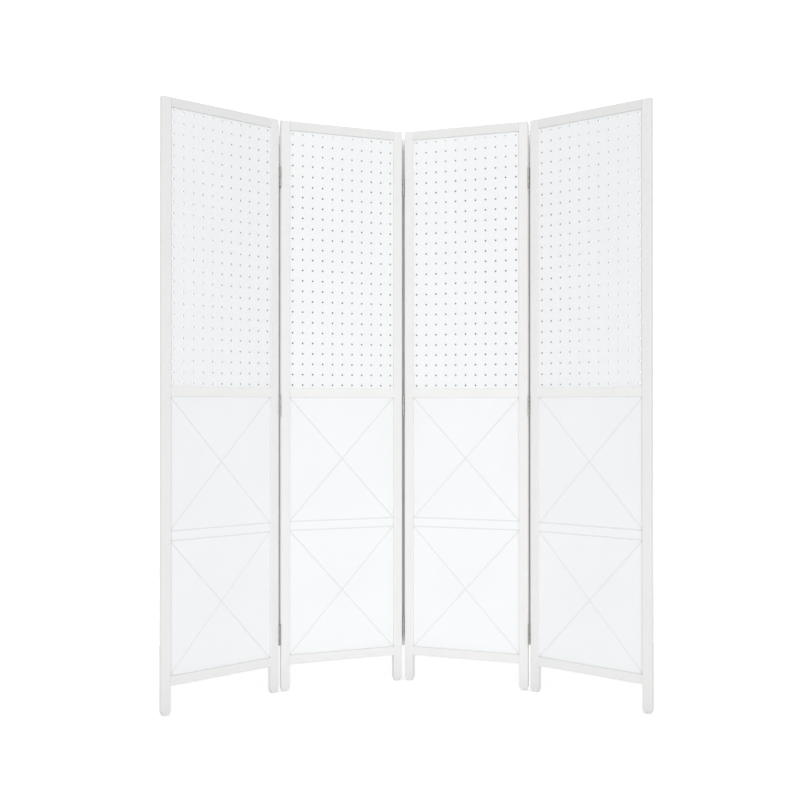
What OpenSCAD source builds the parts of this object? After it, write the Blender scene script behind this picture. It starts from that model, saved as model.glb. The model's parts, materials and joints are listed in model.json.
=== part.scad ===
// Four-panel folding screen: a perforated peg board over a V-grooved board in each
// frame, and two-way hinges between the frames. Millimetres, +Z up, front towards -Y.
// The origin is on the floor, under the middle of the screen as it stands in its arc.

/* [Panel] */
// Width of one panel
panel_w = 400; // [300:5:500]
// Height of one panel, floor to top
panel_h = 1760; // [1500:10:1950]
// Clear height under the bottom rail
leg_h = 82; // [50:1:150]
// Height of the opening that the lower board fills
lower_h = 796; // [500:1:900]

/* [Frame] */
// Width of a stile, seen from the front
stile_w = 28; // [26:1:40]
// Height of a rail
rail_h = 28; // [26:1:40]
// Thickness of stiles and rails, front to back
frame_t = 18; // [16:1:25]
// Radius of the eased long edges
edge_r = 1.5; // [0.5:0.25:3]
// Width of the bevel on each side of a foot
foot_bevel_w = 6; // [2:0.5:8]
// Height of the bevel on each side of a foot
foot_bevel_h = 14; // [4:1:24]

/* [Boards] */
// Thickness of the peg board and of the lower board
board_t = 5; // [4:0.5:6]
// Depth of the slots that hold the boards
slot_d = 7; // [5:0.5:8]
// Distance between peg holes, both ways
hole_pitch = 32.4; // [25:0.1:50]
// Diameter of a peg hole
hole_d = 6; // [4:0.5:8]
// Least distance from the frame to the first row of peg holes
hole_margin = 9; // [8:0.5:12]
// Width of a decorative groove at the board's face
groove_w = 4; // [2:0.5:6]
// Depth of a decorative groove
groove_d = 1.5; // [0.5:0.25:1.75]
// Distance between the two level grooves
band_h = 28; // [16:1:60]

/* [Folds] */
// Turn of each outer panel from its neighbour's plane, towards the front
outer_fold = 20; // [0:1:60]
// Turn between the two middle panels
centre_fold = 40; // [0:1:80]

/* [Hinges] */
// Height of a hinge
hinge_h = 60; // [48:2:80]
// Height of the lowest hinge's middle, and depth of the highest one's below the top
hinge_end = 175; // [120:5:300]
// Number of hinges on each fold
hinge_count = 3; // [2:1:4]
// Thickness of the hinge plates
leaf_t = 1.2; // [1:0.1:1.6]
// Diameter of a hinge pin
pin_d = 2.4; // [2:0.1:3.2]
// Distance of a hinge pin's axis in front of, or behind, the frames
pin_out = 1; // [0.5:0.25:2]
// Number of knuckles along a pin, leaf and link in turn
knuckles = 4; // [2:2:6]
// Diameter of a hinge screw's shank
screw_d = 3; // [2.5:0.1:3.5]
// Length of a hinge screw
screw_l = 12; // [9:1:14]

/* [Dowels] */
// Diameter of the dowels that join rails to stiles
dowel_d = 8; // [6:0.5:8]
// Length of a dowel inside the rail
dowel_in_rail = 22; // [16:1:30]

/* [Hidden] */
panel_count = 4;

// Clearances
slot_gap = 0.15;   // each side of a board in its slot
seat_gap = 0.5;    // board edge to slot bottom
glue_gap = 0.1;    // round a dowel
end_gap = 1;       // beyond a dowel's or a screw's end
pin_gap = 0.1;     // round a hinge pin or a screw
knuckle_gap = 0.3; // between knuckles
turn_gap = 0.3;    // between a barrel and what turns past it

// Openings of a frame, in the panel's own axes
open_w = panel_w - 2 * stile_w;
lower_z = leg_h + rail_h;
peg_rail_z = lower_z + lower_h;
upper_z = peg_rail_z + rail_h;
top_rail_z = panel_h - rail_h;
upper_h = top_rail_z - upper_z;

// Peg holes
hole_cols = floor((open_w - 2 * hole_margin) / hole_pitch) + 1;
hole_rows = floor((upper_h - 2 * hole_margin) / hole_pitch) + 1;

// Grooves of the lower board
lower_mid = lower_z + lower_h / 2;
band_low = lower_mid - band_h / 2;
band_high = lower_mid + band_h / 2;
groove_run = 3; // how far a groove runs on, under the frame

// Dowels
dowel_in_stile = stile_w - screw_l - 2 * end_gap;
dowel_tip = 1;

// Hinges
barrel_r = pin_d / 2 + pin_gap + leaf_t;
panel_gap = 2 * (leaf_t + barrel_r + turn_gap);
pin_span = frame_t + 2 * pin_out;
web_sink = 0.1; // how far a leaf's bent lip dips inside its barrel's tangent
lip_y = barrel_r - leaf_t - web_sink;
leaf_inset = 1; // leaf's long edge to the far face of the stile
leaf_end = pin_out + frame_t - leaf_inset;
knuckle_h = hinge_h / knuckles;
leaf_knuckles = [0:2:knuckles - 1];
link_knuckles = [1:2:knuckles - 1];
pin_head_h = 0.8;
pin_head_inset = 0.4; // a head's rim inside its barrel's
pin_head_r = barrel_r - pin_head_inset;
hinge_step = (panel_h - 2 * hinge_end) / (hinge_count - 1);
hinge_zs = [for (i = [0:hinge_count - 1]) hinge_end + i * hinge_step];

// Three screws in each leaf: [distance across the leaf from its middle, height]
screw_across = (leaf_end - lip_y) / 4;
screw_rise = hinge_h / 3;
screw_spots = [[screw_across, -screw_rise], [-screw_across, 0], [screw_across, screw_rise]];
leaf_mid = (lip_y + leaf_end) / 2;

// Plan of the arc. A panel's heading is its turn about +Z. A fold's place is the axis
// of its front pins, and each fold lies panel_pitch from the next.
panel_pitch = panel_w + panel_gap;
headings = [centre_fold / 2 + outer_fold, centre_fold / 2,
            -centre_fold / 2, -centre_fold / 2 - outer_fold];
function heading(p) = headings[p - 1];
function along(angle, length) = length * [cos(angle), sin(angle)];

// The foremost point is an outer end's eased corner, and the rearmost a rear barrel.
plan_front = -panel_pitch * sin(heading(2))
           + (pin_out + edge_r) * cos(heading(1))
           - (panel_w + panel_gap / 2 - edge_r) * sin(heading(1)) - edge_r;
plan_rear = pin_span * cos(heading(3)) + barrel_r;
centre_pin = [0, -(plan_front + plan_rear) / 2];
fold_pins = [centre_pin - along(heading(2), panel_pitch), centre_pin,
             centre_pin + along(heading(3), panel_pitch)];

frame_colour = [0.90, 0.90, 0.89];
board_colour = [0.95, 0.95, 0.96];
steel_colour = [0.72, 0.72, 0.70];
dowel_colour = [0.80, 0.66, 0.46];

over = 1;   // how far a cutter runs past a face
$fn = 48;

PANEL_NODES = ["left_stile", "right_stile", "top_rail", "peg_rail", "bottom_rail",
               "pegboard", "lower_board", "dowels"];
FOLD_NODES = ["left_leaves", "links", "right_leaves", "front_pins", "rear_pins",
              "left_screws", "right_screws"];
NODES = concat(
    [for (p = [1:panel_count]) for (n = PANEL_NODES) str("panel_", p, "_", n)],
    [for (f = [1:panel_count - 1]) for (n = FOLD_NODES) str("fold_", f, "_", n)]);
node = "all";

// Places its children, drawn in a panel's own axes: X from the left edge, Y from the
// front face, Z from the floor.
module at_panel(p) {
    left_half = p <= panel_count / 2;
    place = fold_pins[(left_half ? p : p - 1) - 1];
    reach = left_half ? -(panel_w + panel_gap / 2) : panel_gap / 2;
    translate([place.x, place.y, 0])
        rotate(heading(p))
            translate([reach, pin_out, 0])
                children();
}

// Places its children, drawn round a front pin's axis, once for each hinge of a fold.
// They are square to panel p.
module at_hinges(f, p) {
    translate([fold_pins[f - 1].x, fold_pins[f - 1].y, 0])
        rotate(heading(p))
            for (z = hinge_zs)
                translate([0, 0, z - hinge_h / 2])
                    children();
}

// Puts a left-hand hinge piece on the right-hand side, on the rear pin.
module turned_round() {
    translate([0, pin_span, 0])
        rotate(180)
            children();
}

// Section of a stile or rail with its long edges eased
module eased_section(w, t) {
    translate([edge_r, 0])
        square([w - 2 * edge_r, t]);
    translate([0, edge_r])
        square([w, t - 2 * edge_r]);
    for (x = [edge_r, w - edge_r], y = [edge_r, t - edge_r])
        translate([x, y])
            circle(r = edge_r);
}

// Bores for dowels, from the plane x = 0 along +X
module dowel_bore(depth) {
    translate([-over, frame_t / 2, 0])
        rotate([0, 90, 0])
            cylinder(d = dowel_d + 2 * glue_gap, h = depth + end_gap + over);
}

// Middles of the three rails, where their dowels lie
rail_mids = [for (z = [leg_h, peg_rail_z, top_rail_z]) z + rail_h / 2];

// The left stile. hinged tells whether its outer edge takes hinge screws.
module stile(hinged) {
    difference() {
        linear_extrude(panel_h)
            eased_section(stile_w, frame_t);
        foot_bevels();
        translate([stile_w - slot_d, (frame_t - board_t) / 2 - slot_gap, lower_z - slot_d])
            cube([slot_d + over, board_t + 2 * slot_gap, top_rail_z - lower_z + 2 * slot_d]);
        for (z = rail_mids)
            translate([stile_w, 0, z])
                mirror([1, 0, 0])
                    dowel_bore(dowel_in_stile);
        if (hinged)
            pilot_holes();
    }
}

module foot_bevels() {
    for (side = [0, 1])
        translate([side * stile_w, -over, 0])
            mirror([side, 0, 0])
                rotate([90, 0, 0])
                    mirror([0, 0, 1])
                        linear_extrude(frame_t + 2 * over)
                            polygon([[-over, -over], [foot_bevel_w, -over],
                                     [foot_bevel_w, 0], [0, foot_bevel_h],
                                     [-over, foot_bevel_h]]);
}

// Pilot holes for the right-hand leaves, in the outer edge of a left stile
module pilot_holes() {
    for (z = hinge_zs, spot = screw_spots)
        translate([-over, frame_t / 2 + (pin_span / 2 - leaf_mid) - spot.x, z + spot.y])
            rotate([0, 90, 0])
                cylinder(d = screw_d + 2 * pin_gap, h = screw_l + end_gap + over);
}

module left_stile(p) {
    color(frame_colour)
        stile(p > 1);
}

// A right stile is the left one turned round.
module right_stile(p) {
    color(frame_colour)
        translate([panel_w, frame_t, 0])
            rotate(180)
                stile(p < panel_count);
}

// A rail between the stiles with its underside at z, slotted above or below
module rail(z, slot_above, slot_below) {
    translate([stile_w, 0, z])
        difference() {
            translate([open_w, 0, 0])
                rotate([0, -90, 0])
                    linear_extrude(open_w)
                        eased_section(rail_h, frame_t);
            for (side = [0, 1])
                if (side == 1 ? slot_above : slot_below)
                    translate([-over, (frame_t - board_t) / 2 - slot_gap,
                               side * (rail_h - slot_d) - (1 - side) * over])
                        cube([open_w + 2 * over, board_t + 2 * slot_gap, slot_d + over]);
            translate([0, 0, rail_h / 2])
                dowel_bore(dowel_in_rail);
            translate([open_w, 0, rail_h / 2])
                mirror([1, 0, 0])
                    dowel_bore(dowel_in_rail);
        }
}

module top_rail() {
    color(frame_colour)
        rail(top_rail_z, false, true);
}

module peg_rail() {
    color(frame_colour)
        rail(peg_rail_z, true, true);
}

module bottom_rail() {
    color(frame_colour)
        rail(leg_h, true, false);
}

// A plain board that fills the opening from z up, with its edges in the slots
module board_blank(z, height) {
    lap = slot_d - seat_gap;
    translate([stile_w - lap, (frame_t - board_t) / 2, z - lap])
        cube([open_w + 2 * lap, board_t, height + 2 * lap]);
}

module pegboard() {
    lap = slot_d - seat_gap;
    color(board_colour)
        translate([panel_w / 2, (frame_t + board_t) / 2, upper_z + upper_h / 2])
            rotate([90, 0, 0])
                linear_extrude(board_t)
                    difference() {
                        square([open_w + 2 * lap, upper_h + 2 * lap], center = true);
                        for (i = [0:hole_cols - 1], j = [0:hole_rows - 1])
                            translate([i - (hole_cols - 1) / 2, j - (hole_rows - 1) / 2]
                                      * hole_pitch)
                                circle(d = hole_d);
                    }
}

// Cutter for a V groove in the face y = 0, from one point [x, z] to another
module groove(from, to) {
    step = to - from;
    turn = atan2(step.y, step.x);
    translate([from.x, 0, from.y])
        rotate([0, 90 - turn, 0])
            translate([0, 0, -groove_run])
                linear_extrude(norm(step) + 2 * groove_run)
                    polygon([[-groove_w, -groove_d], [groove_w, -groove_d],
                             [0, groove_d]]);
}

// A cross over an oblong from corner [x, z] to corner [x, z]
module cross_grooves(low, high) {
    groove(low, high);
    groove([low.x, high.y], [high.x, low.y]);
}

module face_grooves() {
    left = stile_w;
    right = panel_w - stile_w;
    cross_grooves([left, lower_z], [right, band_low]);
    cross_grooves([left, band_high], [right, peg_rail_z]);
    for (z = [band_low, band_high])
        groove([left, z], [right, z]);
}

module lower_board() {
    color(board_colour)
        difference() {
            board_blank(lower_z, lower_h);
            translate([0, (frame_t - board_t) / 2, 0])
                face_grooves();
            translate([0, (frame_t + board_t) / 2, 0])
                mirror([0, 1, 0])
                    face_grooves();
        }
}

// One dowel from the plane x = 0, its stile end towards -X, with tapered tips
module dowel() {
    length = dowel_in_stile + dowel_in_rail;
    translate([-dowel_in_stile, frame_t / 2, 0])
        rotate([0, 90, 0]) {
            cylinder(d1 = dowel_d - 2 * dowel_tip, d2 = dowel_d, h = dowel_tip);
            translate([0, 0, dowel_tip])
                cylinder(d = dowel_d, h = length - 2 * dowel_tip);
            translate([0, 0, length - dowel_tip])
                cylinder(d1 = dowel_d, d2 = dowel_d - 2 * dowel_tip, h = dowel_tip);
        }
}

module dowels() {
    color(dowel_colour)
        for (z = rail_mids) {
            translate([stile_w, 0, z])
                dowel();
            translate([panel_w - stile_w, 0, z])
                mirror([1, 0, 0])
                    dowel();
        }
}

// A stretch of barrel for the knuckle numbered k, counted from below
module knuckle(k) {
    translate([0, 0, k * knuckle_h + knuckle_gap / 2])
        cylinder(r = barrel_r, h = knuckle_h - knuckle_gap);
}

module pin_bore() {
    translate([0, 0, -over])
        cylinder(d = pin_d + 2 * pin_gap, h = hinge_h + 2 * over);
}

// Places its children at a left leaf's screws, with +Z into the wood
module at_screws() {
    for (spot = screw_spots)
        translate([leaf_t - panel_gap / 2, leaf_mid + spot.x, hinge_h / 2 + spot.y])
            rotate([0, -90, 0])
                children();
}

// Leaf on the left-hand panel, hinged on the front pin: a plate along the stile's
// edge whose lips bend across to the barrel
module leaf() {
    difference() {
        union() {
            translate([-panel_gap / 2, lip_y, 0])
                cube([leaf_t, leaf_end - lip_y, hinge_h]);
            for (k = leaf_knuckles) {
                knuckle(k);
                translate([-panel_gap / 2, lip_y, k * knuckle_h + knuckle_gap / 2])
                    cube([panel_gap / 2, leaf_t, knuckle_h - knuckle_gap]);
            }
        }
        pin_bore();
        at_screws()
            screw_shape(pin_gap);
    }
}

module left_leaves(f) {
    color(steel_colour)
        at_hinges(f, f)
            leaf();
}

module right_leaves(f) {
    color(steel_colour)
        at_hinges(f, f + 1)
            turned_round()
                leaf();
}

// Link between the two pins: a plate in the middle of the gap with a barrel at each end
module link() {
    difference() {
        union() {
            difference() {
                translate([-leaf_t / 2, 0, knuckle_gap / 2])
                    cube([leaf_t, pin_span, hinge_h - knuckle_gap]);
                for (k = leaf_knuckles, y = [0, pin_span])
                    translate([0, y, k * knuckle_h - knuckle_gap / 2])
                        cylinder(r = barrel_r + turn_gap, h = knuckle_h + knuckle_gap);
            }
            for (k = link_knuckles, y = [0, pin_span])
                translate([0, y, 0])
                    knuckle(k);
        }
        pin_bore();
        translate([0, pin_span, 0])
            pin_bore();
    }
}

module links(f) {
    color(steel_colour)
        at_hinges(f, f + 1)
            link();
}

// Hinge pin with a low head at each end
module hinge_pin() {
    cylinder(d = pin_d, h = hinge_h);
    translate([0, 0, -pin_head_h])
        cylinder(r1 = pin_head_r - pin_head_h / 2, r2 = pin_head_r, h = pin_head_h);
    translate([0, 0, hinge_h])
        cylinder(r1 = pin_head_r, r2 = pin_head_r - pin_head_h / 2, h = pin_head_h);
}

module front_pins(f) {
    color(steel_colour)
        at_hinges(f, f + 1)
            hinge_pin();
}

module rear_pins(f) {
    color(steel_colour)
        at_hinges(f, f + 1)
            turned_round()
                hinge_pin();
}

// Countersunk screw from its head's face along +Z, or the hole for it when grown
module screw_shape(grow) {
    cylinder(r1 = screw_d / 2 + leaf_t + grow, r2 = screw_d / 2 + grow, h = leaf_t);
    cylinder(r = screw_d / 2 + grow, h = screw_l);
}

module left_screws(f) {
    color(steel_colour)
        at_hinges(f, f)
            at_screws()
                screw_shape(0);
}

module right_screws(f) {
    color(steel_colour)
        at_hinges(f, f + 1)
            turned_round()
                at_screws()
                    screw_shape(0);
}

function wanted(name) = node == "all" || node == name;

for (p = [1:panel_count])
    at_panel(p) {
        if (wanted(str("panel_", p, "_left_stile"))) left_stile(p);
        if (wanted(str("panel_", p, "_right_stile"))) right_stile(p);
        if (wanted(str("panel_", p, "_top_rail"))) top_rail();
        if (wanted(str("panel_", p, "_peg_rail"))) peg_rail();
        if (wanted(str("panel_", p, "_bottom_rail"))) bottom_rail();
        if (wanted(str("panel_", p, "_pegboard"))) pegboard();
        if (wanted(str("panel_", p, "_lower_board"))) lower_board();
        if (wanted(str("panel_", p, "_dowels"))) dowels();
    }
for (f = [1:panel_count - 1]) {
    if (wanted(str("fold_", f, "_left_leaves"))) left_leaves(f);
    if (wanted(str("fold_", f, "_links"))) links(f);
    if (wanted(str("fold_", f, "_right_leaves"))) right_leaves(f);
    if (wanted(str("fold_", f, "_front_pins"))) front_pins(f);
    if (wanted(str("fold_", f, "_rear_pins"))) rear_pins(f);
    if (wanted(str("fold_", f, "_left_screws"))) left_screws(f);
    if (wanted(str("fold_", f, "_right_screws"))) right_screws(f);
}
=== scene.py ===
"""Looks of a four-panel folding screen: its finishes, its hinge screws, and the studio round it.

Lengths are in metres, in the frame's own axes: +Z up and the front towards -Y.
"""

import json
import logging
import math
from collections.abc import Iterable
from dataclasses import dataclass, replace
from enum import Enum
from typing import Any

import bpy
from mathutils import Matrix, Vector

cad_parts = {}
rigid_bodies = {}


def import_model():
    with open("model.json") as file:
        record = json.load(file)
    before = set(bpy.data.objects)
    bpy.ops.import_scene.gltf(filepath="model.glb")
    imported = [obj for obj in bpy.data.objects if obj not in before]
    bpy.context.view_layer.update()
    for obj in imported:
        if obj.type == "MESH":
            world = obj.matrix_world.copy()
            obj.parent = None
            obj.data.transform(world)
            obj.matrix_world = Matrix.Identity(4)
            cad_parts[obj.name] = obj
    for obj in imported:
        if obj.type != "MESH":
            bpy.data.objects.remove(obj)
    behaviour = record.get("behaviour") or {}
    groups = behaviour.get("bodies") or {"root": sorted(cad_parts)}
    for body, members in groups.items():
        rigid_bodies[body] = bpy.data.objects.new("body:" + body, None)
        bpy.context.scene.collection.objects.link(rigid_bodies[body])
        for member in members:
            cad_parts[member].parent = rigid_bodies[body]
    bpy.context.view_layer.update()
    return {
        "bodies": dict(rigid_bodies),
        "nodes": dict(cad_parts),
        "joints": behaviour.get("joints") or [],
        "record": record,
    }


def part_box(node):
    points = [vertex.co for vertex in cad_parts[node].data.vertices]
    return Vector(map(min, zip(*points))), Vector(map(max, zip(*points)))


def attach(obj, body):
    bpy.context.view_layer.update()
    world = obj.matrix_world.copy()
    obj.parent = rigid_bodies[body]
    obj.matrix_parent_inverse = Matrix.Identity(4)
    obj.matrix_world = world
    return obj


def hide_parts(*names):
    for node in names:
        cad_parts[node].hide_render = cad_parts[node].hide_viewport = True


log = logging.getLogger("folding_screen")

Colour = tuple[float, float, float]  # red, green and blue
Triple = tuple[float, float, float]  # along X, Y and Z
Span = tuple[float, float]  # the two ends of a range
Socket = bpy.types.NodeSocket

MM = 0.001
PANEL_COUNT = 4
PHOTO_SIDE = 800  # pixels
QUARTER_TURN = math.pi / 2
WHITE: Colour = (1.0, 1.0, 1.0)
EVEN: Triple = (1.0, 1.0, 1.0)  # a pattern that isn't stretched
WHOLE: Span = (0.0, 1.0)
NOISE_CORE: Span = (0.35, 0.65)  # where most values of soft noise lie
NOISE_REACH: Span = (0.3, 0.7)  # where nearly all of them lie
HEIGHT_SLACK = 1e-6  # a face this near to a height counts as lying at it
LEVEL_NORMAL = 0.9  # a face whose normal points up or down by more counts as level


class Grain(Enum):
    """Which way the wood runs in a member of the frame."""

    UPRIGHT = "upright"
    LEVEL = "level"


class Side(Enum):
    """Which of the two panels at a fold a hinge leaf is screwed to."""

    LEFT = "left"
    RIGHT = "right"


def shade(colour: Colour, factor: float) -> Colour:
    """Gives a colour that is darker or lighter by a factor."""
    return tuple(min(1.0, part * factor) for part in colour)


def deselect_all() -> None:
    """Leaves no object selected, so that an operator acts only on what is chosen next."""
    bpy.ops.object.select_all(action="DESELECT")


def choose(piece: bpy.types.Object) -> None:
    """Makes one object the only selected and active one.

    Args:
        piece: The object to work on.
    """
    deselect_all()
    piece.select_set(True)
    bpy.context.view_layer.objects.active = piece


def select_faces(piece: bpy.types.Object, height: float) -> None:
    """Opens a piece in edit mode with its level faces at one height selected.

    Args:
        piece: The object to open, which is in object mode.
        height: Where the wanted faces lie along Z.
    """
    choose(piece)
    bpy.ops.object.mode_set(mode="EDIT")
    bpy.ops.mesh.select_mode(type="FACE")
    bpy.ops.mesh.select_all(action="DESELECT")
    bpy.ops.object.mode_set(mode="OBJECT")
    for face in piece.data.polygons:
        level = abs(face.normal.z) > LEVEL_NORMAL
        face.select = level and abs(face.center.z - height) < HEIGHT_SLACK
    bpy.ops.object.mode_set(mode="EDIT")


@dataclass(frozen=True)
class PanelAxes:
    """Where a panel stands: its middle in plan, and its heading about +Z in radians."""

    middle: Vector
    heading: float

    @classmethod
    def from_mount(cls, mount: dict[str, Any]) -> "PanelAxes":
        """Reads a panel's axes from the mount at the middle of its peg board.

        Args:
            mount: The record's mount, whose axis points out of the panel's front.

        Returns:
            The axes of that panel.
        """
        x, y, _ = mount["pos_m"]
        out_x, out_y, _ = mount["axis"]
        return cls(Vector((x, y, 0.0)), math.atan2(out_x, -out_y))

    @property
    def front(self) -> Triple:
        """Direction out of the panel's front."""
        return (math.sin(self.heading), -math.cos(self.heading), 0.0)


class NodeGraph:
    """A node tree that starts empty, with short calls that add and join its nodes."""

    def __init__(self, owner: bpy.types.Material | bpy.types.World) -> None:
        """Empties the tree.

        Args:
            owner: The material or world that the tree belongs to.
        """
        owner.use_nodes = True
        self.tree = owner.node_tree
        self.tree.nodes.clear()

    def add(self, kind: str, values: dict[str, Any] | None = None) -> bpy.types.Node:
        """Adds a node.

        Args:
            kind: Blender's name for its type.
            values: What its inputs hold while nothing is joined to them, by their names.

        Returns:
            The node.
        """
        node = self.tree.nodes.new(kind)
        for name, value in (values or {}).items():
            node.inputs[name].default_value = value
        return node

    def join(self, source: Socket, target: Socket) -> None:
        """Links an output to an input."""
        self.tree.links.new(source, target)

    def reckon(self, operation: str, *values: Socket) -> Socket:
        """Works out one number from one or two others.

        Args:
            operation: Blender's name for the sum.
            values: The sockets that go into it.

        Returns:
            The socket with the result.
        """
        node = self.add("ShaderNodeMath")
        node.operation = operation
        for value, socket in zip(values, node.inputs):
            self.join(value, socket)
        return node.outputs["Value"]

    def upward(self, place: Socket) -> Socket:
        """Takes the Z part of coordinates or of a direction.

        Args:
            place: The socket to read.

        Returns:
            The socket with Z.
        """
        split = self.add("ShaderNodeSeparateXYZ")
        self.join(place, split.inputs["Vector"])
        return split.outputs["Z"]

    def between(self, value: Socket, source: Span, target: Span = WHOLE,
                smooth: bool = True) -> Socket:
        """Maps a value's range to another range, and holds its ends beyond it.

        Args:
            value: The socket to read.
            source: The values that give the target's two ends.
            target: The results at those two values.
            smooth: Whether it eases in and out, or runs straight.

        Returns:
            The socket with the result.
        """
        ramp = self.add("ShaderNodeMapRange", {"From Min": source[0], "From Max": source[1],
                                               "To Min": target[0], "To Max": target[1]})
        ramp.interpolation_type = "SMOOTHSTEP" if smooth else "LINEAR"
        self.join(value, ramp.inputs["Value"])
        return ramp.outputs["Result"]

    def either(self, share: Socket, first: Socket, second: Socket) -> Socket:
        """Shows one of two shaders.

        Args:
            share: Socket that is 0 for the first and 1 for the second.
            first: A shader.
            second: A shader.

        Returns:
            The socket with the shader.
        """
        mix = self.add("ShaderNodeMixShader")
        for source, target in zip((share, first, second), mix.inputs):
            self.join(source, target)
        return mix.outputs["Shader"]


class FinishGraph(NodeGraph):
    """The node tree of one of the screen's finishes, built round one surface shader."""

    def __init__(self, name: str, colour: Colour, roughness: float, metallic: float = 0.0) -> None:
        """Starts a material.

        Args:
            name: The material's name.
            colour: Its plain colour, also shown in the viewport.
            roughness: The shader's roughness.
            metallic: 1 for bare metal, 0 for everything else.
        """
        self.material = bpy.data.materials.new(name)
        self.material.diffuse_color = (*colour, 1.0)
        super().__init__(self.material)
        output = self.add("ShaderNodeOutputMaterial")
        self.shader = self.add("ShaderNodeBsdfPrincipled", {
            "Base Color": (*colour, 1.0), "Roughness": roughness, "Metallic": metallic})
        self.join(self.shader.outputs["BSDF"], output.inputs["Surface"])
        self.coordinates = self.add("ShaderNodeTexCoord")

    def stretched(self, stretch: Triple, axes: PanelAxes | None = None) -> Socket:
        """Gives Object coordinates that draw a pattern longer along an axis.

        Args:
            stretch: How much longer the pattern is drawn along X, Y and Z.
            axes: The panel whose own axes they are, or None for the frame's.

        Returns:
            The socket with the coordinates.
        """
        mapping = self.add("ShaderNodeMapping", {"Scale": stretch})
        mapping.vector_type = "TEXTURE"
        if axes is not None:
            mapping.inputs["Location"].default_value = axes.middle
            mapping.inputs["Rotation"].default_value = (0.0, 0.0, axes.heading)
        self.join(self.coordinates.outputs["Object"], mapping.inputs["Vector"])
        return mapping.outputs["Vector"]

    def noise(self, place: Socket, size: float, detail: float) -> Socket:
        """Adds soft noise.

        Args:
            place: Its coordinates.
            size: Size of its blotches.
            detail: How many finer layers it has.

        Returns:
            The socket with a value round one half.
        """
        texture = self.add("ShaderNodeTexNoise", {"Scale": 1.0 / size, "Detail": detail})
        self.join(place, texture.inputs["Vector"])
        return texture.outputs["Fac"]

    def facing(self, direction: Triple) -> Socket:
        """Tells how squarely the surface faces along a direction, or against it.

        Args:
            direction: A direction at rest, of length 1.

        Returns:
            The socket with 0 for edge on to 1 for square on.
        """
        dot = self.add("ShaderNodeVectorMath")
        dot.operation = "DOT_PRODUCT"
        dot.inputs[1].default_value = direction
        self.join(self.coordinates.outputs["Normal"], dot.inputs[0])
        return self.reckon("ABSOLUTE", dot.outputs["Value"])

    def blend(self, share: Socket, first: Colour | Socket, second: Colour | Socket) -> Socket:
        """Blends two colours.

        Args:
            share: Socket that is 0 for the first and 1 for the second.
            first: A colour, or a socket with one.
            second: A colour, or a socket with one.

        Returns:
            The socket with the blended colour.
        """
        mix = self.add("ShaderNodeMix")
        mix.data_type = "RGBA"
        self.join(share, mix.inputs["Factor"])
        for label, value in (("A", first), ("B", second)):
            socket = next(s for s in mix.inputs if s.name == label and s.type == "RGBA")
            if isinstance(value, tuple):
                socket.default_value = (*value, 1.0)
            else:
                self.join(value, socket)
        return next(s for s in mix.outputs if s.type == "RGBA")

    def mottled(self, noise: Socket, span: Span, colour: Colour, tone: float) -> Socket:
        """Lets noise vary a colour, from a duller tone of it to the colour itself."""
        return self.blend(self.between(noise, span), shade(colour, tone), colour)

    def uneven(self, noise: Socket, roughness: float, spread: Span) -> Socket:
        """Lets noise vary the roughness, from a little under it to a little over it."""
        return self.between(noise, NOISE_REACH, (roughness + spread[0], roughness + spread[1]))

    def relief(self, height: Socket, depth: float, base: Socket | None = None) -> Socket:
        """Adds shallow relief.

        Args:
            height: Socket with the relief, from 0 to 1.
            depth: Its depth.
            base: Normal of relief that lies under this one.

        Returns:
            The socket with the surface's new normal.
        """
        bump = self.add("ShaderNodeBump", {"Distance": depth})
        self.join(height, bump.inputs["Height"])
        if base is not None:
            self.join(base, bump.inputs["Normal"])
        return bump.outputs["Normal"]

    def finish(self, colour: Socket, normal: Socket,
               roughness: Socket | None = None) -> bpy.types.Material:
        """Joins what varies over the surface to the shader.

        Args:
            colour: Socket with the colour.
            normal: Socket with the normal.
            roughness: Socket with the roughness, where it varies.

        Returns:
            The finished material.
        """
        self.join(colour, self.shader.inputs["Base Color"])
        self.join(normal, self.shader.inputs["Normal"])
        if roughness is not None:
            self.join(roughness, self.shader.inputs["Roughness"])
        return self.material


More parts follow.
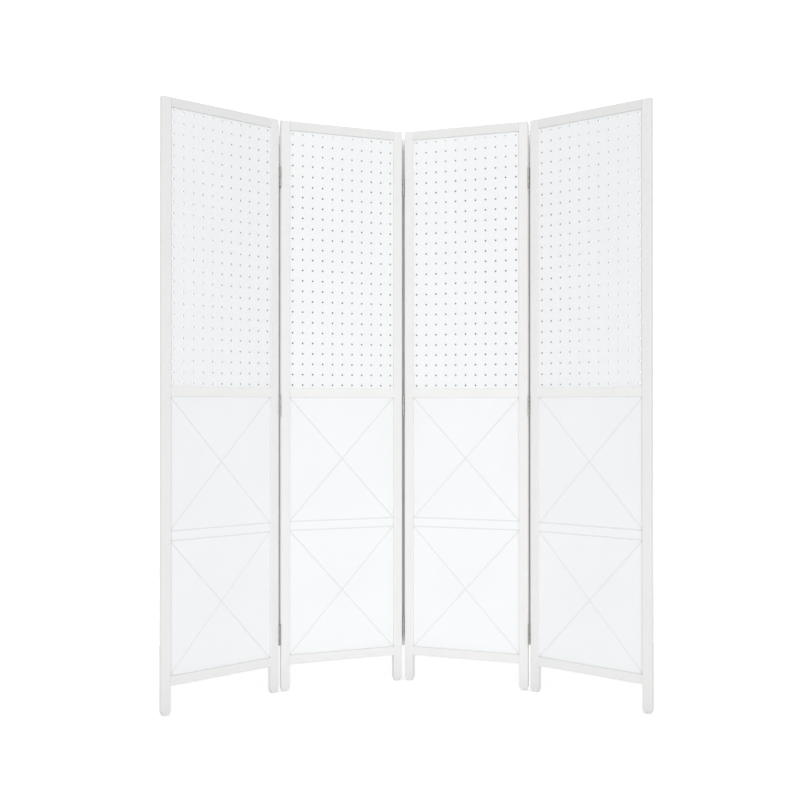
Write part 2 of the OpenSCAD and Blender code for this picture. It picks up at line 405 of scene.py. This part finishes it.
@dataclass(frozen=True)
class FramePaint:
    """Satin white sprayed on wood, with the grain showing faintly along each member."""

    colour: Colour = (0.845, 0.845, 0.838)
    roughness: float = 0.42
    roughness_spread: Span = (-0.05, 0.07)
    cloud_size: float = 0.16
    cloud_tone: float = 0.985
    grain_width: float = 2.2 * MM
    grain_length: float = 90 * MM
    grain_depth: float = 0.05 * MM
    grain_span: Span = (0.3, 0.45)  # from the bottom of a furrow to its edge
    grain_tone: float = 0.97
    peel_size: float = 1.6 * MM
    peel_depth: float = 0.02 * MM
    scuff_height: float = 30 * MM
    scuff_size: float = 7 * MM
    scuff_span: Span = (0.5, 0.68)
    scuff_share: float = 0.5
    scuff_tone: float = 0.82

    def with_painted_shading(self, tone: float) -> "FramePaint":
        """Gives the same paint darker below a tone of 1, as painted shade, or lighter above it, as
        painted light.
        """
        return replace(self, colour=shade(self.colour, tone))

    def material(self, name: str, axes: PanelAxes, grain: Grain) -> bpy.types.Material:
        """Builds the paint for members of one panel whose grain runs one way.

        Args:
            name: The material's name.
            axes: The panel's place and heading.
            grain: Which way the wood runs.

        Returns:
            The material.
        """
        graph = FinishGraph(name, self.colour, self.roughness)
        stretch = self.grain_length / self.grain_width
        along = (1.0, 1.0, stretch) if grain is Grain.UPRIGHT else (stretch, 1.0, 1.0)
        fibres = graph.noise(graph.stretched(along, axes), self.grain_width, detail=3.0)
        even = graph.stretched(EVEN, axes)
        peel = graph.noise(even, self.peel_size, detail=1.0)
        cloud = graph.noise(even, self.cloud_size, detail=2.0)
        colour = graph.mottled(cloud, NOISE_CORE, self.colour, self.cloud_tone)
        furrows = graph.between(fibres, self.grain_span, (1.0, 0.0))
        colour = graph.blend(furrows, colour, shade(self.colour, self.grain_tone))
        normal = graph.relief(fibres, self.grain_depth)
        normal = graph.relief(peel, self.peel_depth, base=normal)
        return graph.finish(self.scuffed(graph, even, colour), normal,
                            graph.uneven(cloud, self.roughness, self.roughness_spread))

    def scuffed(self, graph: FinishGraph, place: Socket, colour: Socket) -> Socket:
        """Dulls the paint in spots near the floor, where shoes and brooms touch the feet.

        Args:
            graph: The material's graph.
            place: Coordinates in the panel's axes.
            colour: Socket with the paint's colour.

        Returns:
            The socket with the scuffed colour.
        """
        low = graph.between(graph.upward(place), (0.0, self.scuff_height), (1.0, 0.0))
        noise = graph.noise(place, self.scuff_size, detail=4.0)
        spots = graph.between(noise, self.scuff_span, (0.0, self.scuff_share))
        share = graph.reckon("MULTIPLY", low, spots)
        return graph.blend(share, colour, shade(self.colour, self.scuff_tone))


@dataclass(frozen=True)
class BoardPaint:
    """Smooth, slightly cool white coat on fibreboard, thin and dull where a hole cuts it.

    The grooves' walls are drawn darker as painted shade, and the bores' walls grey, partly
    for bare fibre and partly as painted shade.
    """

    colour: Colour = (0.897, 0.913, 0.920)
    roughness: float = 0.38
    roughness_spread: Span = (-0.04, 0.06)
    cloud_size: float = 0.22
    cloud_tone: float = 0.988
    groove_facing: Span = (0.85, 0.97)  # how squarely a groove's wall faces the front
    groove_shade_tone: float = 0.91
    bore_facing: Span = (0.2, 0.5)  # how squarely a bore's wall and its rim do
    bore_fibre_and_shade: Colour = (0.67, 0.675, 0.67)
    fibre_size: float = 0.7 * MM
    fibre_tones: Span = (0.7, 1.3)  # its darkest and lightest specks, beside its colour
    peel_size: float = 2.4 * MM
    peel_depth: float = 0.018 * MM

    def material(self, name: str, axes: PanelAxes) -> bpy.types.Material:
        """Builds the coat for the boards of one panel.

        Args:
            name: The material's name.
            axes: The panel's place and heading.

        Returns:
            The material.
        """
        graph = FinishGraph(name, self.colour, self.roughness)
        even = graph.stretched(EVEN, axes)
        peel = graph.noise(even, self.peel_size, detail=2.0)
        cloud = graph.noise(even, self.cloud_size, detail=2.0)
        colour = graph.mottled(cloud, NOISE_CORE, self.colour, self.cloud_tone)
        facing = graph.facing(axes.front)
        # Painted shade in the grooves: their slanted walls are drawn darker than the flat coat.
        groove_shade = graph.between(facing, self.groove_facing, (1.0, 0.0))
        colour = graph.blend(groove_shade, colour, shade(self.colour, self.groove_shade_tone))
        # The bores' walls get a speckled grey: partly the bare fibre that a hole cuts, partly
        # painted shade inside the holes.
        speckle = graph.noise(even, self.fibre_size, detail=3.0)
        dark, light = self.fibre_tones
        bore_wall_and_shade = graph.blend(speckle, shade(self.bore_fibre_and_shade, dark), shade(self.bore_fibre_and_shade, light))
        colour = graph.blend(graph.between(facing, self.bore_facing, (1.0, 0.0)), colour, bore_wall_and_shade)
        return graph.finish(colour, graph.relief(peel, self.peel_depth),
                            graph.uneven(cloud, self.roughness, self.roughness_spread))


@dataclass(frozen=True)
class HingeNickel:
    """Dull nickel plate over rolled steel, finely scratched upwards."""

    colour: Colour = (0.42, 0.42, 0.415)
    roughness: float = 0.38
    roughness_spread: Span = (-0.08, 0.12)
    scratch_width: float = 0.12 * MM
    scratch_length: float = 9 * MM
    scratch_depth: float = 0.01 * MM
    stain_size: float = 5 * MM
    stain_span: Span = (0.4, 0.7)
    stain_tone: float = 0.8

    def material(self, name: str) -> bpy.types.Material:
        """Builds the plating.

        Args:
            name: The material's name.

        Returns:
            The material.
        """
        graph = FinishGraph(name, self.colour, self.roughness, metallic=1.0)
        upright = graph.stretched((1.0, 1.0, self.scratch_length / self.scratch_width))
        scratches = graph.noise(upright, self.scratch_width, detail=2.0)
        stains = graph.noise(graph.coordinates.outputs["Object"], self.stain_size, detail=3.0)
        colour = graph.blend(graph.between(stains, self.stain_span), self.colour,
                             shade(self.colour, self.stain_tone))
        return graph.finish(colour, graph.relief(scratches, self.scratch_depth),
                            graph.uneven(stains, self.roughness, self.roughness_spread))


@dataclass(frozen=True)
class BeechWood:
    """Bare beech with its short darker flecks along the grain."""

    colour: Colour = (0.66, 0.47, 0.29)
    roughness: float = 0.62
    fibre_width: float = 0.8 * MM
    fibre_stretch: float = 12.0
    fibre_depth: float = 0.04 * MM
    fibre_tone: float = 0.85
    fleck: Colour = (0.42, 0.26, 0.14)
    fleck_width: float = 0.6 * MM
    fleck_stretch: float = 5.0
    fleck_span: Span = (0.62, 0.72)
    fleck_share: float = 0.7

    def material(self, name: str, axes: PanelAxes) -> bpy.types.Material:
        """Builds the wood for one panel's dowels, which lie level.

        Args:
            name: The material's name.
            axes: The panel's place and heading.

        Returns:
            The material.
        """
        graph = FinishGraph(name, self.colour, self.roughness)
        along = graph.stretched((self.fibre_stretch, 1.0, 1.0), axes)
        fibres = graph.noise(along, self.fibre_width, detail=4.0)
        along = graph.stretched((self.fleck_stretch, 1.0, 1.0), axes)
        flecks = graph.noise(along, self.fleck_width, detail=1.0)
        colour = graph.mottled(fibres, NOISE_REACH, self.colour, self.fibre_tone)
        flecked = graph.between(flecks, self.fleck_span, (0.0, self.fleck_share))
        colour = graph.blend(flecked, colour, self.fleck)
        return graph.finish(colour, graph.relief(fibres, self.fibre_depth))


def dress(node: bpy.types.Object, material: bpy.types.Material) -> None:
    """Gives a CAD node its finish.

    Args:
        node: The node's object.
        material: The finish for all of it.
    """
    if node.material_slots:
        for slot in node.material_slots:
            slot.material = material
    else:
        node.data.materials.append(material)
    log.info("%s: %s", node.name, material.name)


@dataclass
class Panel:
    """One panel of the screen: two stiles, three rails, two boards and their dowels."""

    number: int
    axes: PanelAxes
    nodes: dict[str, bpy.types.Object]
    frame_paint: FramePaint = FramePaint()
    board_paint: BoardPaint = BoardPaint()
    wood: BeechWood = BeechWood()
    # Painted shade and painted light: the top rails get a darker copy of the frame paint and the
    # peg rails a lighter one.
    rail_shade_tones: tuple[tuple[str, float], ...] = (
        ("top_rail", 0.95), ("peg_rail", 1.03), ("bottom_rail", 1.0))

    def node(self, name: str) -> bpy.types.Object:
        """Finds one of this panel's nodes by its short name."""
        return self.nodes[f"panel_{self.number}_{name}"]

    def build(self) -> None:
        """Dresses every node of the panel."""
        prefix = f"panel_{self.number}"
        upright = self.frame_paint.material(f"{prefix}_upright_paint", self.axes, Grain.UPRIGHT)
        coat = self.board_paint.material(f"{prefix}_board_paint", self.axes)
        beech = self.wood.material(f"{prefix}_beech", self.axes)
        for name in ("left_stile", "right_stile"):
            dress(self.node(name), upright)
        # Each rail's paint is a darker or lighter copy, for painted shade on the top rails and
        # painted light on the peg rails.
        for name, tone in self.rail_shade_tones:
            paint = self.frame_paint.with_painted_shading(tone)
            level = paint.material(f"{prefix}_{name}_paint", self.axes, Grain.LEVEL)
            dress(self.node(name), level)
        for name in ("pegboard", "lower_board"):
            dress(self.node(name), coat)
        dress(self.node("dowels"), beech)


@dataclass
class WoodScrew:
    """Countersunk cross-head screw, drawn from its head's face along +Z."""

    head_radius: float = 2.7 * MM
    head_depth: float = 1.2 * MM
    shank_radius: float = 1.5 * MM
    core_radius: float = 1.05 * MM
    length: float = 12 * MM
    thread_pitch: float = 1.3 * MM
    tip_length: float = 2.4 * MM
    tip_taper: float = 0.15
    recess_reach: float = 1.5 * MM
    recess_width: float = 0.75 * MM
    recess_depth: float = 0.9 * MM
    recess_taper: float = 0.45
    sides: int = 20

    def build(self, name: str, material: bpy.types.Material) -> bpy.types.Object:
        """Models one screw at the origin.

        Args:
            name: The object's name.
            material: Its finish.

        Returns:
            The screw's object.
        """
        bpy.ops.mesh.primitive_cylinder_add(
            vertices=self.sides, radius=self.head_radius, depth=self.head_depth,
            location=(0, 0, self.head_depth / 2))
        screw = bpy.context.object
        screw.name = name
        choose(screw)
        bpy.ops.object.transform_apply(location=True, rotation=True, scale=True)
        select_faces(screw, self.head_depth)
        self.resize(self.shank_radius / self.head_radius, self.head_depth)
        self.turn_thread()
        bpy.ops.object.mode_set(mode="OBJECT")
        self.cut_recess(screw)
        screw.data.materials.clear()
        screw.data.materials.append(material)
        return screw

    def resize(self, factor: float, height: float) -> None:
        """Scales the selected faces about the screw's axis."""
        bpy.ops.transform.resize(value=(factor, factor, 1), center_override=(0, 0, height))

    def push(self, distance: float) -> None:
        """Extrudes the selected faces along the screw."""
        bpy.ops.mesh.extrude_region_move(TRANSFORM_OT_translate={"value": (0, 0, distance)})

    def turn_thread(self) -> None:
        """Carries the shank on from the head as ridges that narrow to a point."""
        height = self.head_depth
        threaded = self.length - self.head_depth - self.tip_length
        ridges = int(threaded / self.thread_pitch)
        step = threaded / ridges / 2
        for _ in range(ridges):
            for factor in (self.core_radius / self.shank_radius,
                           self.shank_radius / self.core_radius):
                self.push(step)
                height += step
                self.resize(factor, height)
        self.push(self.tip_length)
        self.resize(self.tip_taper, height + self.tip_length)

    def cut_recess(self, screw: bpy.types.Object) -> None:
        """Cuts the tapered cross into the head.

        Args:
            screw: The screw, whose head's face lies at the origin.
        """
        arms = []
        for turn in (0.0, QUARTER_TURN):
            bpy.ops.mesh.primitive_cube_add(size=1.0)
            arm = bpy.context.object
            arm.scale = (2 * self.recess_reach, self.recess_width, 2 * self.recess_depth)
            arm.rotation_euler = (0, 0, turn)
            choose(arm)
            bpy.ops.object.transform_apply(location=True, rotation=True, scale=True)
            select_faces(arm, self.recess_depth)
            self.resize(self.recess_taper, self.recess_depth)
            bpy.ops.object.mode_set(mode="OBJECT")
            arms.append(arm)
        for arm in arms:
            cut = screw.modifiers.new("recess", "BOOLEAN")
            cut.operation = "DIFFERENCE"
            cut.solver = "EXACT"
            cut.object = arm
            choose(screw)
            bpy.ops.object.modifier_apply(modifier=cut.name)
            bpy.data.objects.remove(arm)


@dataclass
class Fold:
    """One fold: three hinges with their leaves, links, pins and screws."""

    number: int
    front_pin: Vector
    rear_pin: Vector
    left: PanelAxes
    right: PanelAxes
    nodes: dict[str, bpy.types.Object]
    hinge_height: float = 60 * MM
    leaf_thickness: float = 1.2 * MM
    leaf_near: float = 1.2 * MM  # from the pin, as the leaf's other end is
    leaf_far: float = 18 * MM
    half_gap: float = 4 * MM
    screw_turn: float = 37.0  # degrees that each screw is driven past the one before

    def build(self, nickel: bpy.types.Material, screw: bpy.types.Object) -> None:
        """Dresses the fold's nodes and fits its screws.

        Args:
            nickel: The finish of all its metal.
            screw: The screw to copy.
        """
        for name in ("left_leaves", "links", "right_leaves", "front_pins", "rear_pins"):
            dress(self.nodes[f"fold_{self.number}_{name}"], nickel)
        self.fit_screws(Side.LEFT, screw)
        self.fit_screws(Side.RIGHT, screw)

    def hinge_middles(self) -> Triple:
        """Works out the heights of the hinges' middles from the box of the links.

        Returns:
            The heights for the lowest, middle and highest hinge.
        """
        low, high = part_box(f"fold_{self.number}_links")
        bottom = low.z + self.hinge_height / 2
        top = high.z - self.hinge_height / 2
        return (bottom, (bottom + top) / 2, top)

    def leaf_place(self, side: Side) -> Matrix:
        """Gives the place of a left or right leaf's pin, with X along its panel.

        Args:
            side: Which leaf.

        Returns:
            The matrix from the leaf's own axes to the frame's.
        """
        if side is Side.LEFT:
            pin, heading = self.front_pin, self.left.heading
        else:
            pin, heading = self.rear_pin, self.right.heading + math.pi
        return Matrix.Translation(pin) @ Matrix.Rotation(heading, 4, "Z")

    def screw_places(self) -> list[Matrix]:
        """Gives the places of nine screws, three to a leaf, in the leaf's own axes.

        Returns:
            Matrices that take a screw drawn along +Z to its hole.
        """
        across = (self.leaf_far - self.leaf_near) / 4
        rise = self.hinge_height / 3
        middle = (self.leaf_near + self.leaf_far) / 2
        face = self.leaf_thickness - self.half_gap
        into_wood = Matrix.Rotation(-QUARTER_TURN, 4, "Y")
        spots = ((across, -rise), (-across, 0.0), (across, rise))
        return [Matrix.Translation((face, middle + y, height + z)) @ into_wood
                for height in self.hinge_middles() for y, z in spots]

    def fit_screws(self, side: Side, screw: bpy.types.Object) -> None:
        """Copies the screw to every hole of one side's leaves, as one piece.

        Args:
            side: Which leaves.
            screw: The screw to copy.
        """
        place = self.leaf_place(side)
        copies = []
        for spot, hole in enumerate(self.screw_places()):
            copy = screw.copy()
            copy.data = screw.data.copy()
            driven = Matrix.Rotation(math.radians(self.screw_turn * spot), 4, "Z")
            copy.data.transform(place @ hole @ driven)
            bpy.context.scene.collection.objects.link(copy)
            copies.append(copy)
        choose(copies[0])
        for copy in copies:
            copy.select_set(True)
        bpy.ops.object.join()
        piece = bpy.context.object
        node = f"fold_{self.number}_{side.value}_screws"
        piece.name = f"fold_{self.number}_{side.value}_cross_head_screws"
        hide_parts(node)
        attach(piece, f"panel_{self.number if side is Side.LEFT else self.number + 1}")
        log.info("%s: %d screws", piece.name, len(copies))


@dataclass
class FoldingScreen:
    """The whole screen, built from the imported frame."""

    frame: dict[str, Any]
    nickel: HingeNickel = HingeNickel()

    def panel_axes(self) -> list[PanelAxes]:
        """Reads where the panels stand.

        Returns:
            The axes of all panels, from left to right.
        """
        mounts = {mount["name"]: mount for mount in self.frame["record"]["mounts"]}
        return [PanelAxes.from_mount(mounts[f"peg_hole_panel_{number}"])
                for number in range(1, PANEL_COUNT + 1)]

    def pin_places(self) -> dict[str, Vector]:
        """Reads where in plan each joint's pin stands, by the joint's name."""
        return {joint["name"]: Vector((*joint["pos_m"][:2], 0.0))
                for joint in self.frame["joints"]}

    def build(self) -> None:
        """Dresses all panels and folds."""
        axes = self.panel_axes()
        nodes = self.frame["nodes"]
        for number, place in enumerate(axes, start=1):
            Panel(number, place, nodes).build()
        plated = self.nickel.material("hinge_nickel")
        screw = WoodScrew().build("pattern_screw", plated)
        pins = self.pin_places()
        for number, (left, right) in enumerate(zip(axes, axes[1:]), start=1):
            fold = Fold(number, pins[f"fold_{number}_front"], pins[f"fold_{number}_rear"],
                        left, right, nodes)
            fold.build(plated, screw)
        bpy.data.objects.remove(screw)


def set_up(name: str, data: bpy.types.Light | bpy.types.Camera, place: Triple,
           turn: Triple) -> bpy.types.Object:
    """Puts a lamp or the camera in the studio.

    Args:
        name: The object's name.
        data: Its lamp or camera settings.
        place: Where it stands.
        turn: Its turns about X, Y and Z in radians, from looking straight down.

    Returns:
        The object.
    """
    thing = bpy.data.objects.new(name, data)
    thing.location = place
    thing.rotation_euler = turn
    bpy.context.scene.collection.objects.link(thing)
    return thing


@dataclass(frozen=True)
class StudioPaper:
    """Pale seamless paper, which may be seen from its front only."""

    brightness: float
    one_sided: bool = False

    def material(self, name: str) -> bpy.types.Material:
        """Builds the paper.

        Args:
            name: The material's name.

        Returns:
            The material.
        """
        material = bpy.data.materials.new(name)
        graph = NodeGraph(material)
        output = graph.add("ShaderNodeOutputMaterial")
        grey = (self.brightness, self.brightness, self.brightness, 1.0)
        surface = graph.add("ShaderNodeBsdfDiffuse", {"Color": grey}).outputs["BSDF"]
        if self.one_sided:
            back = graph.add("ShaderNodeNewGeometry").outputs["Backfacing"]
            clear = graph.add("ShaderNodeBsdfTransparent").outputs["BSDF"]
            surface = graph.either(back, surface, clear)
        graph.join(surface, output.inputs["Surface"])
        return material


@dataclass(frozen=True)
class StudioSheet:
    """A flat sheet of paper, tilted about X by some degrees.

    One for show is seen by the camera and takes no part in the room's light. Any other
    sheet is unseen and throws light back at the screen.
    """

    name: str
    paper: StudioPaper
    size: tuple[float, float]
    middle: Triple
    tilt: float = 0.0
    for_show: bool = True

    def build(self) -> bpy.types.Object:
        """Hangs or lays the sheet.

        Returns:
            Its object.
        """
        bpy.ops.mesh.primitive_plane_add(size=1.0, location=self.middle,
                                         rotation=(math.radians(self.tilt), 0, 0))
        sheet = bpy.context.object
        sheet.name = self.name
        sheet.scale = (*self.size, 1.0)
        sheet.visible_camera = self.for_show
        sheet.visible_diffuse = not self.for_show
        sheet.visible_glossy = not self.for_show
        sheet.visible_transmission = not self.for_show
        sheet.visible_shadow = not self.for_show
        sheet.data.materials.append(self.paper.material(f"{self.name}_paper"))
        return sheet


@dataclass(frozen=True)
class FarLamp:
    """A far, broad lamp in front of the screen: its strength, and its rise and width in degrees."""

    name: str
    strength: float
    rise: float
    spread: float

    def build(self) -> None:
        """Adds the lamp."""
        light = bpy.data.lights.new(self.name, "SUN")
        light.energy = self.strength
        light.angle = math.radians(self.spread)
        set_up(self.name, light, (0.0, 0.0, 0.0), (math.radians(90 - self.rise), 0, 0))


@dataclass(frozen=True)
class LongLamp:
    """A long level lamp in front of the screen, unseen itself, with its power and size."""

    name: str
    power: float
    width: float
    height: float

    def build(self, place: Triple) -> bpy.types.Object:
        """Adds the lamp.

        Args:
            place: Where its middle is.

        Returns:
            Its object.
        """
        light = bpy.data.lights.new(self.name, "AREA")
        light.shape = "RECTANGLE"
        light.energy = self.power
        light.size = self.width
        light.size_y = self.height
        lamp = set_up(self.name, light, place, (QUARTER_TURN, 0, 0))
        lamp.visible_camera = False
        return lamp


@dataclass(frozen=True)
class RoomLight:
    """Soft light from all round, strongest from the horizon, in a room that looks white.

    It fades upwards to its strength above, and over the dusk's depth to that below.
    """

    horizon: float = 0.90
    above: float = 0.56
    below: float = 0.60
    dusk_depth: float = 0.25

    def build(self) -> None:
        """Fills the room with the light."""
        world = bpy.data.worlds.new("studio_room")
        bpy.context.scene.world = world
        graph = NodeGraph(world)
        output = graph.add("ShaderNodeOutputWorld")
        rise = graph.upward(graph.add("ShaderNodeTexCoord").outputs["Generated"])
        dome = graph.between(rise, WHOLE, (self.horizon, self.above), smooth=False)
        dusk = graph.between(rise, (-self.dusk_depth, 0.0), (self.below, self.horizon),
                             smooth=False)
        fill = graph.add("ShaderNodeBackground", {"Color": (*WHITE, 1.0)})
        seen = graph.add("ShaderNodeBackground", {"Color": (*WHITE, 1.0)})
        graph.join(graph.reckon("MINIMUM", dome, dusk), fill.inputs["Strength"])
        looked_at = graph.add("ShaderNodeLightPath").outputs["Is Camera Ray"]
        room = graph.either(looked_at, fill.outputs["Background"], seen.outputs["Background"])
        graph.join(room, output.inputs["Surface"])


@dataclass(frozen=True)
class StudioCamera:
    """The camera, where the photograph was taken from, turned by its yaw and pitch in degrees."""

    place: Triple = (-0.1014, -3.2414, 0.8733)
    yaw: float = -0.858
    pitch: float = 0.282
    focal_pixels: float = 1068.2
    centre_pixel: tuple[float, float] = (387.8, 402.6)
    sensor: float = 36.0  # millimetres

    def build(self) -> None:
        """Sets up the camera and looks through it."""
        camera = bpy.data.cameras.new("camera")
        camera.sensor_width = self.sensor
        camera.lens = self.focal_pixels / PHOTO_SIDE * self.sensor
        half = PHOTO_SIDE / 2
        camera.shift_x = (half - self.centre_pixel[0]) / PHOTO_SIDE
        camera.shift_y = (self.centre_pixel[1] - half) / PHOTO_SIDE
        turn = (math.radians(90 + self.pitch), 0, math.radians(self.yaw))
        bpy.context.scene.camera = set_up("camera", camera, self.place, turn)


@dataclass(frozen=True)
class Studio:
    """The pale floor and wall, the soft light and the camera."""

    bounce: StudioSheet = StudioSheet("studio_bounce", StudioPaper(brightness=1.0),
                                      size=(3.6, 3.6), middle=(0.0, 0.0, -1 * MM),
                                      for_show=False)
    floor: StudioSheet = StudioSheet("studio_floor", StudioPaper(brightness=1.5),
                                     size=(60.0, 60.0), middle=(0.0, 0.0, 0.0))
    wall: StudioSheet = StudioSheet("studio_wall", StudioPaper(brightness=0.37, one_sided=True),
                                    size=(5.4, 2.8), middle=(0.0, 0.69, 1.4), tilt=90.0)
    wall_lamp: LongLamp = LongLamp("studio_wall_lamp", power=900.0, width=2.7, height=1.0)
    room: RoomLight = RoomLight()
    key: FarLamp = FarLamp("studio_key", strength=1.0, rise=2.0, spread=12.0)
    camera: StudioCamera = StudioCamera()

    def build(self) -> None:
        """Sets up the whole studio."""
        self.bounce.build()
        self.floor.build()
        self.hang_wall()
        self.room.build()
        self.key.build()
        self.camera.build()
        bpy.context.scene.view_settings.view_transform = "Standard"

    def hang_wall(self) -> None:
        """Hangs the wall, where the screen's shadow fills its gaps, and lights it alone."""
        lit = bpy.data.collections.new("studio_wall_lit")
        lit.objects.link(self.wall.build())
        self.wall_lamp.build(self.camera.place).light_linking.receiver_collection = lit


def main() -> None:
    """Builds the screen and its studio in order."""
    logging.basicConfig(level=logging.INFO, format="%(name)s: %(message)s")
    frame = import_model()
    deselect_all()
    Studio().build()
    FoldingScreen(frame).build()


if __name__ == "__main__":
    main()
